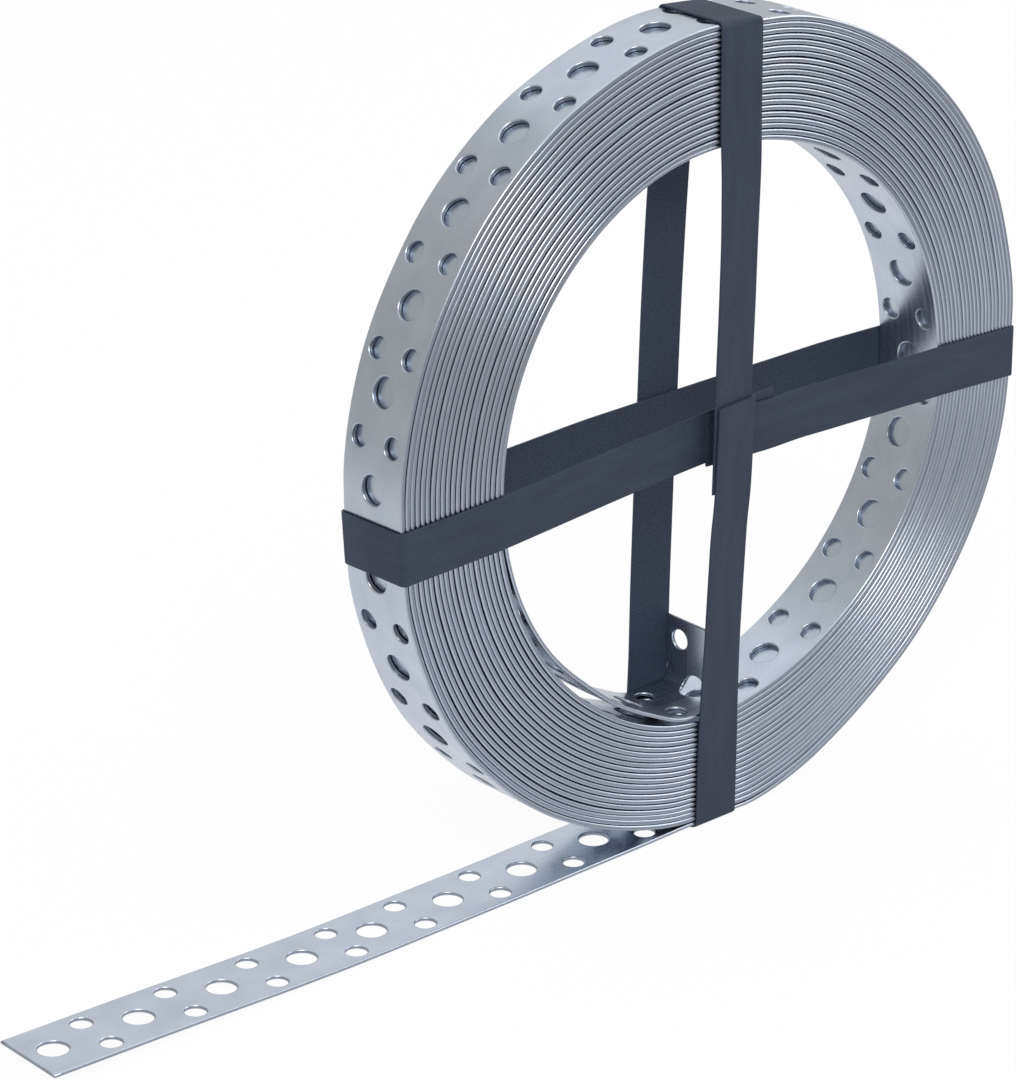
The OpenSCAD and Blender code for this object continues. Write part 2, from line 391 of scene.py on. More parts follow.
def make_piece(name, points, directions, faces, flat, material):
    """flat holds numbers for the finish: along and across in millimetres, and a torn edge's share, which also
    sets the painted shade on the edges.
    """
    points, directions, flat = np.concatenate(points), np.concatenate(directions), np.concatenate(flat)
    turned = []
    for group in faces:
        turned += facing_out(points, directions, np.concatenate(group))
    mesh = bpy.data.meshes.new(name)
    mesh.from_pydata(points.tolist(), [], turned)
    for label, column in zip(("along", "across", "torn"), flat.T):
        attribute = mesh.attributes.new(label, "FLOAT", "POINT")
        attribute.data.foreach_set("value", column.astype(np.float32))
    mesh.polygons.foreach_set("use_smooth", [True] * len(mesh.polygons))
    mesh.normals_split_custom_set_from_vertices(directions.tolist())
    mesh.materials.append(material)
    piece = bpy.data.objects.new(name, mesh)
    bpy.context.scene.collection.objects.link(piece)
    triangles = sum(len(face.vertices) - 2 for face in mesh.polygons)
    print(f"{name}: {len(points)} points, {triangles} triangles")
    return piece


print("torn share at 45, 60 and 90 degrees:", [round(float(torn(math.radians(a))), 2) for a in (45, 60, 90)])

# %% [markdown]
# ## Nodes in fewer words
#
# Both finishes and the room are made of shader nodes. A socket takes another node's output or keeps
# a fixed value, so one small function does both. The other helpers each make one kind of node.

# %% Node helpers
def empty_tree(owner):
    """Turns on the nodes of a material or of the world, and clears them."""
    owner.use_nodes = True
    owner.node_tree.nodes.clear()
    return owner.node_tree


def feed(tree, socket, value):
    """Links another node's output to the socket, or sets the socket to a fixed value."""
    if isinstance(value, bpy.types.NodeSocket):
        tree.links.new(value, socket)
    else:
        socket.default_value = value


def worked_out(tree, operation, first, second):
    """A number made of two others. Each is fixed or another node's output."""
    node = tree.nodes.new("ShaderNodeMath")
    node.operation = operation
    feed(tree, node.inputs[0], first)
    feed(tree, node.inputs[1], second)
    return node.outputs[0]


def mixed(tree, share, first, second):
    """A colour between two others. Each is fixed or another node's output."""
    node = tree.nodes.new("ShaderNodeMix")
    node.data_type = "RGBA"
    feed(tree, node.inputs["Factor"], share)
    feed(tree, node.inputs["A"], first)
    feed(tree, node.inputs["B"], second)
    return node.outputs["Result"]


# %% Numbers from the mesh, and noise
def stored(tree, label):
    """A number that the mesh stores at its points."""
    attribute = tree.nodes.new("ShaderNodeAttribute")
    attribute.attribute_name = label
    return attribute.outputs["Fac"]


def strap_place(tree, along_scale, across_scale):
    """A place on the strap, stretched, for a noise or a wave."""
    place = tree.nodes.new("ShaderNodeCombineXYZ")
    feed(tree, place.inputs["X"], worked_out(tree, "MULTIPLY", stored(tree, "along"), along_scale))
    feed(tree, place.inputs["Y"], worked_out(tree, "MULTIPLY", stored(tree, "across"), across_scale))
    return place.outputs[0]


def noise(tree, place, detail):
    texture = tree.nodes.new("ShaderNodeTexNoise")
    texture.inputs["Scale"].default_value = 1.0
    texture.inputs["Detail"].default_value = detail
    feed(tree, texture.inputs["Vector"], place)
    return texture.outputs["Fac"]


def between(tree, source, low, high, from_low=0.3, from_high=0.7):
    """A number from low to high, as the source goes over its usual range."""
    spread = tree.nodes.new("ShaderNodeMapRange")
    range_of = {"Value": source, "From Min": from_low, "From Max": from_high, "To Min": low, "To Max": high}
    for label, value in range_of.items():
        feed(tree, spread.inputs[label], value)
    return spread.outputs["Result"]


def new_finish(name):
    """A material with one principled shader."""
    material = bpy.data.materials.new(name)
    tree = empty_tree(material)
    output = tree.nodes.new("ShaderNodeOutputMaterial")
    shader = tree.nodes.new("ShaderNodeBsdfPrincipled")
    feed(tree, output.inputs["Surface"], shader.outputs["BSDF"])
    return material, tree, shader


# %% [markdown]
# ## The zinc finish
#
# Zinc on strip is a satin metal. Its colour is nearly neutral with a touch of blue, and it
# mirrors the room softly. The rolling mill leaves faint streaks along the strip, and the zinc has
# crystals a few millimetres wide that mirror a little differently. The finish is a metal shader
# whose colour and roughness come from noise that is stretched along the strap, read from the
# lengths stored in the mesh. Noise in plain X, Y and Z would cut across the turns.

# %% Zinc
zinc_dark, zinc_light = (0.53, 0.58, 0.67, 1), (0.61, 0.66, 0.745, 1)
# torn steel is darker than zinc, and this colour is darkened further as painted shade for the gaps between
# the turns
torn_steel_with_painted_shade = (0.30, 0.33, 0.40, 1)
zinc_roughness = 0.23, 0.31
torn_roughness = 0.5


def make_zinc():
    material, tree, shader = new_finish("galvanised_steel")
    shader.inputs["Metallic"].default_value = 1.0
    streaks = noise(tree, strap_place(tree, 0.02, 1.2), 4.0)
    crystals = noise(tree, strap_place(tree, 0.10, 0.13), 3.0)
    tint = mixed(tree, between(tree, crystals, 0.0, 1.0), zinc_dark, zinc_light)
    # the slit edges and the walls of the holes are bare, torn steel: darker and rougher than zinc. Their
    # colour is darkened further as painted shade, for the shade that falls between the turns and in the holes
    bare = stored(tree, "torn")
    feed(tree, shader.inputs["Base Color"], mixed(tree, bare, tint, torn_steel_with_painted_shade))
    satin = between(tree, streaks, *zinc_roughness)
    rough = worked_out(tree, "MAXIMUM", satin, between(tree, bare, 0.0, torn_roughness))
    feed(tree, shader.inputs["Roughness"], rough)
    return material


zinc = make_zinc()
print("finish:", zinc.name)

# %% [markdown]
# ## The slate plastic finish
#
# Packing band is polypropylene, stretched and then embossed between two rollers with a fine
# waffle, so that it doesn't slip. Its colour is dark slate and it is almost matt. The waffle is
# two crossed waves, 0.65 mm apart, that only press the surface in, so it is a bump.

# %% Slate plastic
slate_dark, slate_light = (0.026, 0.036, 0.058, 1), (0.034, 0.046, 0.071, 1)
# painted light: a paler slate for the runs behind the coil, which the coil shades
slate_painted_light_behind = (0.040, 0.054, 0.084, 1)
waffle_pitch = 0.65
wave_length_at_scale_1 = math.pi / 10


def waffle(tree):
    """The surface direction over two crossed waves."""
    place = strap_place(tree, 1.0, 1.0)
    waves = []
    for turn in (45, -45):
        tilt = tree.nodes.new("ShaderNodeVectorRotate")
        tilt.rotation_type = "Z_AXIS"
        tilt.inputs["Angle"].default_value = math.radians(turn)
        feed(tree, tilt.inputs["Vector"], place)
        wave = tree.nodes.new("ShaderNodeTexWave")
        wave.inputs["Scale"].default_value = wave_length_at_scale_1 / waffle_pitch
        feed(tree, wave.inputs["Vector"], tilt.outputs[0])
        waves.append(wave.outputs["Fac"])
    bump = tree.nodes.new("ShaderNodeBump")
    bump.inputs["Strength"].default_value = 0.8
    bump.inputs["Distance"].default_value = 0.12 / mm
    feed(tree, bump.inputs["Height"], worked_out(tree, "MULTIPLY", *waves))
    return bump.outputs["Normal"]


def make_slate():
    material, tree, shader = new_finish("band_plastic")
    shader.inputs["Roughness"].default_value = 0.6
    shader.inputs["Specular IOR Level"].default_value = 0.25
    cloud = noise(tree, strap_place(tree, 0.05, 0.3), 3.0)
    tint = mixed(tree, between(tree, cloud, 0.0, 1.0), slate_dark, slate_light)
    # painted light: the runs behind the coil are coloured a shade paler than the ones in front, to make up
    # for the shade that the coil casts on them
    spot = tree.nodes.new("ShaderNodeTexCoord")
    axes = tree.nodes.new("ShaderNodeSeparateXYZ")
    feed(tree, axes.inputs[0], spot.outputs["Object"])
    painted_light_behind = between(tree, axes.outputs["Y"], 0.0, 1.0, 0.0, 9 / mm)
    feed(tree, shader.inputs["Base Color"], mixed(tree, painted_light_behind, tint, slate_painted_light_behind))
    feed(tree, shader.inputs["Normal"], waffle(tree))
    return material


slate = make_slate()
print("finish:", slate.name)

# %% [markdown]
# ## Laying out the punch strokes
#
# The punch makes a large hole, then a pair of small ones, then a large one again. Its feed slips
# now and then, so a pitch comes out short, and the coil's faces have places of their own. Strokes
# are counted in whole numbers for the large holes and in halves for the pairs.

# %% Strokes of the punch
large_d = 7.0
small_d = 5.0
pair_gap = 11.1
tail_margin = 6.7
feed_slip = 2.4
first_slip = 4
coil_pitch = 22.3
outer_phase = 13.5
outer_slips = [4.5, 5, 6.5, 7, 7.5, 8, 9], [0, 2.4, 2.4, 3.5, 2.1, 1.4, 0.9]
tail_until = 9
crown_from = 21
before_crown = 2
many_strokes = 100
seam_land = 4.0
right_l = math.pi * right_half(0)[1]


def tail_stroke(n):
    """Place of stroke n on the tail, from the foot."""
    return tail_margin - tail_l + n * hole_pitch - feed_slip * (n >= first_slip)


def face_stroke(phase, slips, n):
    """Place of stroke n on one of the coil's faces, from the crown."""
    return phase + n * coil_pitch - np.interp(n, *slips)


def crown_stroke(n):
    return right_l + face_stroke(outer_phase, outer_slips, n)


def right_stroke(n):
    """Place of stroke n of the tail's count, spread evenly over the right side."""
    ends = [tail_stroke(tail_until - 0.5), crown_stroke(-before_crown)]
    return np.interp(n, [tail_until - 0.5, crown_from], ends)


def strokes_of(place, first, until):
    """Each stroke from first up to, but not including, until: its place, and whether it is large."""
    return [(place(half / 2), half % 2 == 0) for half in range(2 * first, 2 * until)]


def outer_strokes(until):
    """The tail, the right side and over the crown, up to a place."""
    tail = strokes_of(tail_stroke, 0, tail_until)
    right = strokes_of(right_stroke, tail_until, crown_from)
    over_crown = strokes_of(crown_stroke, -before_crown, many_strokes)
    return tail + right + [stroke for stroke in over_crown if stroke[0] < until - seam_land]


def holes_of(strokes):
    """Centre and radius of each hole."""
    holes = []
    for s, is_large in strokes:
        if is_large:
            holes.append((s, 0.0, large_d / 2))
        else:
            holes += [(s, -pair_gap / 2, small_d / 2), (s, pair_gap / 2, small_d / 2)]
    return holes


print("first strokes:", [(round(s, 1), is_large) for s, is_large in outer_strokes(right_l)[:4]])

# %% [markdown]
# ## Punching the flat strap
#
# One way to cut the holes is Blender's Boolean modifier, but it would leave long thin faces that
# shade badly when the sheet is bent. Here the flat strap is divided into triangles once, with a
# ring of points round each hole. The triangles inside the holes are left out.

# %% Outline and rings
side_round = 0.48
hole_round = 0.42
edge_cell = 2.6
ring_cell = 0.9
grid_cell = 2.0
clear_of_rim = 0.7


def outline_of(s_line, y_line):
    """Points round the strap's outline, each with its direction outward."""
    low, high, side = s_line[0], s_line[-1], y_line[-1]
    outline = [((low, -side), (-1, -1))] + [((s, -side), (0, -1)) for s in s_line[1:-1]]
    outline += [((high, -side), (1, -1))] + [((high, y), (1, 0)) for y in y_line[1:-1]]
    outline += [((high, side), (1, 1))] + [((s, side), (0, 1)) for s in s_line[-2:0:-1]]
    outline += [((low, side), (-1, 1))] + [((low, y), (-1, 0)) for y in y_line[-2:0:-1]]
    return outline


def ring_of(s, y, radius):
    """Points round a hole, each with its direction into the hole."""
    turn = np.linspace(0, 2 * np.pi, 4 * round(math.tau * radius / ring_cell / 4), endpoint=False)
    outward = [(math.cos(t), math.sin(t)) for t in turn]
    return [((s + radius * a, y + radius * b), (-a, -b)) for a, b in outward]


def grid_between(s_line, side, holes):
    """Points of an even grid inside the outline, without those in a hole or close to its ring."""
    y_line = np.linspace(-side, side, int(round(2 * side / grid_cell)) + 1)
    grid = np.column_stack([axis.ravel() for axis in np.meshgrid(s_line[1:-1], y_line[1:-1])])
    keep = np.ones(len(grid), bool)
    for s, y, radius in holes:
        keep &= np.hypot(grid[:, 0] - s, grid[:, 1] - y) >= radius + hole_round + clear_of_rim
    return grid[keep]


print("points round a large hole:", len(ring_of(0, 0, large_d / 2 + hole_round)))


# %% Flat layout
def flat_layout(start, end, holes):
    """Triangles of the flat strap, and the loops of points round its outline and its holes."""
    side = strap_w / 2 - side_round
    low, high = start + side_round, end - side_round
    s_line = np.linspace(low, high, int(round((high - low) / edge_cell)) + 1)
    rims = [(outline_of(s_line, np.linspace(-side, side, 9)), side_round)]
    rims += [(ring_of(s, y, radius + hole_round), hole_round) for s, y, radius in holes]
    points, edges, loops = [], [], []
    for rim, size in rims:
        ring = list(range(len(points), len(points) + len(rim)))
        points += [point for point, direction in rim]
        edges += zip(ring, ring[1:] + ring[:1])
        loops.append((ring, np.array([direction for point, direction in rim], float), size))
    points += map(tuple, grid_between(s_line, side, holes))

    made, _, triangles, origin, _, _ = delaunay_2d_cdt([Vector(p) for p in points], edges, [], 1, 1e-6)
    new_of = {old: new for new, olds in enumerate(origin) for old in olds}
    made = np.array([(p[0], p[1]) for p in made])
    triangles = np.array(triangles)
    centre = made[triangles].mean(axis=1)
    inside = np.zeros(len(triangles), bool)
    for s, y, radius in holes:
        inside |= np.hypot(centre[:, 0] - s, centre[:, 1] - y) < radius + hole_round * 0.9
    loops = [(np.array([new_of[i] for i in ring]), direction, size) for ring, direction, size in loops]
    return made, triangles[~inside], loops


# %% [markdown]
# The edges aren't sharp. The punch draws the sheet down round each hole before it breaks
# through, and the slitting knives do the same along both sides. So every edge gets a rounded
# profile on both faces, and these rounded rims are what catches the light on the real strap.
#
# Both faces use the same triangles. Between them, each loop gets seven bands of faces that go
# round the top rim, down the wall and round the bottom rim. On the coil the walls reach down
# almost to the next turn, or light would leak in between the turns and rim the holes.

# %% Punched sheet
wall_extra = 0.3
wall_ease = 20.0
end_land = 1.0


def sheet_depth(s, on_coil):
    """How far the walls reach down: the strap's thickness, and on the coil almost to the next turn."""
    low, high = on_coil
    return strap_t + wall_extra * np.clip((s - low) / wall_ease, 0, 1) * np.clip((high - s) / wall_ease, 0, 1)


def rim_profile(size):
    """Steps over the top rim and the bottom rim: inward, down, which face it starts from, and lean."""
    top = [(size * math.sin(t), size * (1 - math.cos(t)), 0, t) for t in np.radians((30, 60, 90))]
    return top + [(inward, -down, 1, math.pi - t) for inward, down, face, t in top[::-1]]


def punched_sheet(name, path, strokes, material, on_coil):
    start, end = path["s"][0], path["s"][-1]
    holes = [hole for hole in holes_of(strokes)
             if start + hole[2] + end_land < hole[0] < end - hole[2] - end_land]
    flat, triangles, loops = flat_layout(start, end, holes)
    count = len(flat)
    s, y = flat.T
    top, out, along, across = bend_onto(path, s, y, np.zeros(count))
    bottom = bend_onto(path, s, y, sheet_depth(s, on_coil))[0]
    plain = np.column_stack([flat, np.zeros(count)])
    points, directions, for_finish = [top, bottom], [out, -out], [plain, plain]
    walls = []
    total = 2 * count
    for ring, direction, size in loops:
        aim = unit(direction)
        rows = [ring]
        for inward, down, face, t in rim_profile(size):
            moved = flat[ring] + direction * inward
            depth = down + face * sheet_depth(moved[:, 0], on_coil)
            place, out, along, across = bend_onto(path, *moved.T, depth)
            points.append(place)
            directions.append(out * math.cos(t) + (along * aim[:, :1] + across * aim[:, 1:]) * math.sin(t))
            for_finish.append(np.column_stack([moved, np.full(len(ring), torn(t))]))
            rows.append(np.arange(total, total + len(ring)))
            total += len(ring)
        rows.append(ring + count)
        for upper, lower in zip(rows, rows[1:]):
            walls.append(np.column_stack([upper, np.roll(upper, -1), np.roll(lower, -1), lower]))
    return make_piece(name, points, directions, [[triangles, triangles + count], walls], for_finish, material)


# %% [markdown]
# ## The tail and the two outermost turns
#
# Only the outermost turn and the tail are punched. The turn under them backs the holes, and its
# own holes lie out of step and don't show, so it stays whole. The unevenness starts where the
# coil does, because the tail lies on the floor.

# %% Outer sheet
outer_legs = [tail_leg()] + winding(0, 2)
outer_path = make_path(outer_legs, -legs_length(outer_legs[:1]), 0, lambda s: (s > 0).astype(float))
punched_l = legs_length(winding(0, 1))
outer_sheet = punched_sheet(
    "strap_tail_and_outer_turns", outer_path, outer_strokes(punched_l), zinc, on_coil=(10, math.inf)
)

# %% [markdown]
# ## The turns in the middle
#
# Only the edges of these turns can be seen, so they need no holes. Their section has rounded slit
# edges and is swept along the path. It is drawn a little thicker than the strap, because slitting
# leaves a burr that narrows the gaps. An array modifier couldn't make the turns, as each has a
# length of its own.

# %% Swept sections
def rounded_section(width, thick, outer_round, inner_round, steps):
    """Points round a strip's section: place across, depth below the outer face, side and lean."""
    halves = []
    for side in (1, -1):
        half = []
        for edge, face, inward, first in ((outer_round, 0, 1, 0), (inner_round, thick, -1, 90)):
            for t in np.radians(np.linspace(first, first + 90, steps)):
                place = side * (width / 2 - edge * (1 - math.sin(t)))
                half.append((place, face + inward * edge * (1 - abs(math.cos(t))), side, t))
        halves.append(half)
    return halves[0] + halves[1][::-1]


def swept_faces(stations, corners):
    """Faces between the points of a section that is swept along a path."""
    faces = []
    for j in range(corners):
        a = np.arange(stations - 1) + j * stations
        b = np.arange(stations - 1) + (j + 1) % corners * stations
        faces.append(np.column_stack([a, a + 1, b + 1, b]))
    return faces


print("points round a section:", len(rounded_section(strap_w, strap_t, 0.5, 0.5, 4)))

# %% Middle turns
burred_t = 1.18
middle_section = rounded_section(strap_w, burred_t, 0.52, 0.5, 4)


def plain_turns(name, path, material):
    s = path["s"]
    points, directions, for_finish = [], [], []
    for y, depth, side, t in middle_section:
        y_here, depth_here, torn_here = (np.full(len(s), value) for value in (y, depth, torn(t)))
        place, out, along, across = bend_onto(path, s, y_here, depth_here)
        points.append(place)
        directions.append(out * math.cos(t) + across * side * math.sin(t))
        for_finish.append(np.column_stack([s, y_here, torn_here]))
    faces = swept_faces(len(s), len(middle_section))
    return make_piece(name, points, directions, [faces], for_finish, material)


middle_path = make_path(winding(2, last - 1), 0, 720)
middle_turns = plain_turns("strap_middle_turns", middle_path, zinc)

# %% [markdown]
# ## The innermost turns and the bent end
#
# The bore's face is punched like the outside. Counted back from the middle of the bend, a large
# hole comes every pitch. The right side of the bore has its own place for the first hole, as the
# feed of the punch slipped somewhere on the way. The left half of the turn behind it is punched
# too, because the sprung half turn leaves it bare.

# %% Inner strokes
inner_phase = 21.8
inner_slips = [4, 4.4, 5, 6], [0, 3.4, 3.5, 4.8]
inner_stretch = (right_half(last)[1] - strap_t / 2) / (right_half(last)[1] - strap_t)


def inner_strokes(punched_from, crown_s, bend_s):
    """The tab and the bend, back to the crown, and back along the turn before it."""
    strokes = [(bend_s, True), (bend_s + half_bend_l + tab_l - end_margin, False)]
    i = 1
    while bend_s - i * hole_pitch > crown_s + seam_land:
        strokes += [(bend_s - (i - 0.5) * hole_pitch, False), (bend_s - i * hole_pitch, True)]
        i += 1
    backwards = strokes_of(
        lambda n: crown_s - face_stroke(inner_phase, inner_slips, n) * inner_stretch, 0, many_strokes
    )
    return strokes + [stroke for stroke in backwards if stroke[0] > punched_from]


print("there the middle of the strap is longer than its inner face", round(inner_stretch, 4), "times")

# %% Inner sheet
spring_eased_from, spring_eased_over = 120, 40
wound = winding(last - 1, last + 1, strap_t / 2)[:3]
sprung = end_legs()
for leg in sprung:
    leg[:, 3] += 720
crown_s = legs_length(wound)
bend_s = crown_s + legs_length(sprung[:2]) + half_bend_l


def sprung_share(s):
    """All of the unevenness past the crown at first, and none of it near the bend."""
    return np.clip((crown_s + spring_eased_from + spring_eased_over - s) / spring_eased_over, 0, 1)


inner_path = make_path(wound + sprung, 0, 360 * (last - 1), sprung_share)
strokes = inner_strokes(legs_length(wound[:1]), crown_s, bend_s)
inner_sheet = punched_sheet(
    "strap_inner_turns_and_bent_end", inner_path, strokes, zinc, on_coil=(-math.inf, crown_s)
)

# %% [markdown]
# ## The packing bands
#
# Each band is one ribbon, drawn tight round the coil's section and welded where its ends lap. A
# ribbon needs more than a path: its width has to lean and shift a little, as it does on the real
# coil. So each station of the path gives the middle of the ribbon's inner face, the direction
# away from the coil and the direction across the ribbon. The ribbon's section is swept along it.
# Blender's curve bevel would turn the section by itself, and not to the coil's edges.

# %% Ribbon helper
band_w = 12.7
band_t = 0.56
band_edge = 0.2
lap_lift = band_t + 0.05
band_section = rounded_section(band_w, band_t, band_edge, band_edge, 3)


def across_folds(centre, outward, fold):
    """Across the ribbon, along the coil's edges, so that a slanting ribbon folds without a twist."""
    fold = np.array(fold, float)
    across = unit(fold - outward * (outward @ fold)[:, None])
    slant = (unit(np.gradient(centre, axis=0)) * across).sum(axis=1)
    return across / np.sqrt(1 - np.clip(slant, -0.5, 0.5) ** 2)[:, None]


def ribbon(name, centre, outward, fold, material):
    """Sweeps the band's section. centre is in millimetres, on the inner face."""
    outward = unit(outward)
    across = across_folds(centre, outward, fold)
    length = np.concatenate([[0], np.cumsum(np.linalg.norm(np.diff(centre, axis=0), axis=1))])
    n, corners = len(centre), len(band_section)
    points, directions, for_finish = [], [], []
    for v, depth, side, t in band_section:
        points.append((centre + across * v + outward * (band_t - depth)) / mm)
        directions.append(outward * math.cos(t) + across * side * math.sin(t))
        for_finish.append(np.column_stack([length, np.full(n, v)]))
    faces = swept_faces(n, corners)
    # the two cut ends, each with its own points so that its edge stays sharp
    swept = np.concatenate(points)
    caps = []
    for end, forward in ((0, centre[0] - centre[1]), (n - 1, centre[-1] - centre[-2])):
        own = (n + len(caps)) * corners + np.arange(corners)
        caps.append([[own[j], own[j + 1], own[-2 - j], own[-1 - j]] for j in range(corners // 2 - 1)])
        points.append(swept[np.arange(corners) * n + end])
        directions.append(np.tile(unit(forward[None]), (corners, 1)))
        for_finish.append(np.column_stack([np.full(corners, length[end]), [row[0] for row in band_section]]))
    return make_piece(name, points, directions, [faces, caps], for_finish, material)


print("points round the band's section:", len(band_section))

# %% [markdown]
# ## The upright band
#
# It goes over the crown, down the back, under the foot and up the front, where its end laps over
# its beginning. It leans: over the crown it lies a little to the right, and under the foot a
# little to the left. It crosses the level band on the outside at the front and at the back.
#
# The lists give its X, or how far it stands off, at heights above the coil's axis.

# %% Lines of the upright band
side_y = strap_w / 2 + 0.07
top_z = coil_d / 2 - 0.42
low_z = -coil_d / 2 - 0.07
corner_r = 0.8
corner_gap = 0.7
bend_y = side_y - corner_r
top_tilt = 0.08
band_step = 1.5
under_end, over_end = -13, 9.2
front_crown_x, back_crown_x = 3.45, 3.7
front_foot_x, back_foot_x = -1.0, -6.2

front_under = [
    (-30, 0.8), (-13, 0.9), (7, 1.35), (21, 1.9), (30, 2.3), (50, 3.05), (66, 3.65), (110, front_crown_x),
]
front_over = [
    (-110, front_foot_x), (-98, front_foot_x), (-59, -0.36), (-39, 0.34), (-19, 1.1), (-9, 1.45), (12, 2.4),
]
back_line = [
    (-110, back_foot_x), (-97, back_foot_x), (-61, -4.0), (-42, -3.4), (-22, -2.5), (8, -1.2), (28, -0.55),
    (48, 0.4), (70, 1.8), (97, back_crown_x), (110, 4.6),
]
front_stand = [
    (-72, 0), (-59, 0.3), (-39, 0.7), (-28, 0.95), (-8, 1.25), (30, 1.1), (50, 0.85), (62, 0.55), (74, 0),
]
back_stand = [(-70, 0), (-16, 0.6), (12, 0.6), (70, 0)]
front_twist = [(-110, 0), (-78, 0), (-52, 0.1), (48, 0.1), (74, 0), (110, 0)]
over_lap = [(-24, 0), (-15, 1), (12, 1)]


def corner(u, v, start):
    """Steps round one corner of the coil's section: two places and the direction outward."""
    turn = np.radians(np.linspace(start, start - 90, 7))
    return [(u + corner_r * math.cos(t), v + corner_r * math.sin(t), math.degrees(t)) for t in turn]


def round_side(first, second, start, shift_from, shift_to):
    """Round one side of the coil: a corner, straight over the width, and another corner."""
    first, second = np.array(first), np.array(second)
    run = np.linalg.norm(second - first)
    lean = math.radians(start - 90)
    out = corner_r * np.array([math.cos(lean), math.sin(lean)])
    rows = [(*step, shift_from) for step in corner(*first, start)]
    for way in np.linspace(corner_gap, run - corner_gap, 12):
        shift = np.interp(way + corner_r, [0, run + 2 * corner_r], [shift_from, shift_to])
        rows.append((*(first + (second - first) * way / run + out), start - 90, shift))
    return rows + [(*step, shift_to) for step in corner(*second, start - 90)]


print("the upright band goes round a section", round(2 * side_y, 2), "by", round(top_z - low_z, 2))

# %% Upright band
rows = []
for z in np.arange(under_end, top_z - corner_r, band_step):
    rows.append((-side_y - eased(z, front_stand), z, 180, eased(z, front_under)))
rows += round_side((-bend_y, top_z - corner_r), (bend_y, top_z - corner_r), 180, front_crown_x, back_crown_x)
for z in np.arange(top_z - band_step, low_z + band_step, -band_step):
    rows.append((side_y + eased(z, back_stand), z, 0, eased(z, back_line)))
rows += round_side((bend_y, low_z + corner_r), (-bend_y, low_z + corner_r), 0, back_foot_x, front_foot_x)
for z in np.arange(low_z + band_step, over_end, band_step):
    stand = eased(z, front_stand) + lap_lift * eased(z, over_lap, 3)
    rows.append((-side_y - stand, z, 180, eased(z, front_over)))

y, z, turn, x = np.array(rows).T
lean = np.radians(turn)
twist = np.where(turn == 180, eased(z, front_twist), 0) + top_tilt * np.clip(np.sin(lean), 0, 1)
upright_band = ribbon(
    "upright_packing_band_ribbon", np.column_stack([x, y, z + axis_z]),
    np.column_stack([twist, np.cos(lean), np.sin(lean)]), (1, 0, 0), slate,
)

# %% [markdown]
# ## The level band
#
# It lies under the upright band at both crossings, so its front is drawn a little into the bore.
# Its two runs rise slightly towards the middle. At the lap the end that came from the left lies
# behind, and the end that came from the right lies on it, a millimetre lower.
#
# The lists give its height above the coil's axis, or how far it is drawn in, along X.

# %% Lines of the level band
left_x = -left_half(0)[1] + 1.0
right_x = right_half(0)[1] - 0.3
left_tilt = -0.06
left_end, right_end = 18.0, -4.4
front_left_z, back_left_z, right_z = -4.4, -4.9, -3.1

front_left = [
    (-110, front_left_z), (-97, front_left_z), (-68, -3.4), (-33, -1.55), (-4, -0.3), (18, 0.6), (30, 0.9),
]
front_right = [
    (-10, -0.75), (-4, -0.95), (16, -1.85), (33, -2.05), (72, -2.0), (98, right_z), (110, right_z),
]
back_level = [
    (-110, -5.0), (-96, back_left_z), (-25, -2.1), (13, -1.85), (54, -1.75), (98, right_z), (110, right_z),
]
draw_in = [(-110, 0), (-68, 0), (-10, 2.45), (26, 2.45), (68, 0), (110, 0)]
under_lap = [(-10, 1), (17, 1), (27, 0)]
print("the level band goes round from", round(left_x, 2), "to", round(right_x, 2))

# %% Level band
rows = []
for x in np.arange(left_end, left_x + corner_r, -band_step):
    rows.append((x, -side_y + eased(x, draw_in), 270, eased(x, front_left)))
rows += round_side((left_x + corner_r, -bend_y), (left_x + corner_r, bend_y), 270, front_left_z, back_left_z)
for x in np.arange(left_x + band_step, right_x - band_step, band_step):
    rows.append((x, side_y, 90, eased(x, back_level)))
rows += round_side((right_x - corner_r, bend_y), (right_x - corner_r, -bend_y), 90, right_z, right_z)
for x in np.arange(right_x - band_step, right_end, -band_step):
    over = lap_lift * eased(x, under_lap, 3)
    rows.append((x, -side_y + eased(x, draw_in) - over, 270, eased(x, front_right)))

x, y, turn, z = np.array(rows).T
lean = np.radians(turn)
tilt = left_tilt * np.clip(-np.cos(lean), 0, 1)
level_band = ribbon(
    "level_packing_band_ribbon", np.column_stack([x, y, z + axis_z]),
    np.column_stack([np.cos(lean), np.sin(lean), tilt]), (0, 0, -1), slate,
)

# %% [markdown]
# ## Riding on the frame
#
# There is no joint, so every piece rides on the one body. Each piece says which CAD node it
# stands for, and which material of the record it wears.

# %% Ride and replace
for piece, node, slot in (
    (outer_sheet, "perforated_strap", "galvanised_steel"),
    (middle_turns, "perforated_strap", "galvanised_steel"),
    (inner_sheet, "perforated_strap", "galvanised_steel"),
    (upright_band, "upright_packing_band", "band_plastic"),
    (level_band, "level_packing_band", "band_plastic"),
):
    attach(piece, "root")
    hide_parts(node)

# %% [markdown]
# ## The camera
#
# A long lens from the front left, a little above. Its place is given outright. Its aim is an
# azimuth, an elevation and a small roll, one rotation each.

# %% Camera
azimuth, elevation, roll = (math.radians(degrees) for degrees in (-41.006, 22.690, -0.2814))
camera_place = np.array([-631.04, -659.74, 451.0]) / mm
camera_data = bpy.data.cameras.new("camera")
camera_data.sensor_width = 36.0
camera_data.lens = 139.941667
camera_data.clip_start = 0.01
camera_data.clip_end = 20.0
camera = bpy.data.objects.new("camera", camera_data)
bpy.context.scene.collection.objects.link(camera)
raised = Matrix.Rotation(math.radians(90) - elevation, 4, "X")
aim = Matrix.Rotation(azimuth, 4, "Z") @ raised @ Matrix.Rotation(roll, 4, "Z")
camera.matrix_world = Matrix.Translation(camera_place) @ aim
bpy.context.scene.camera = camera
print("camera at", np.round(camera_place, 3), "lens", round(camera_data.lens, 1))

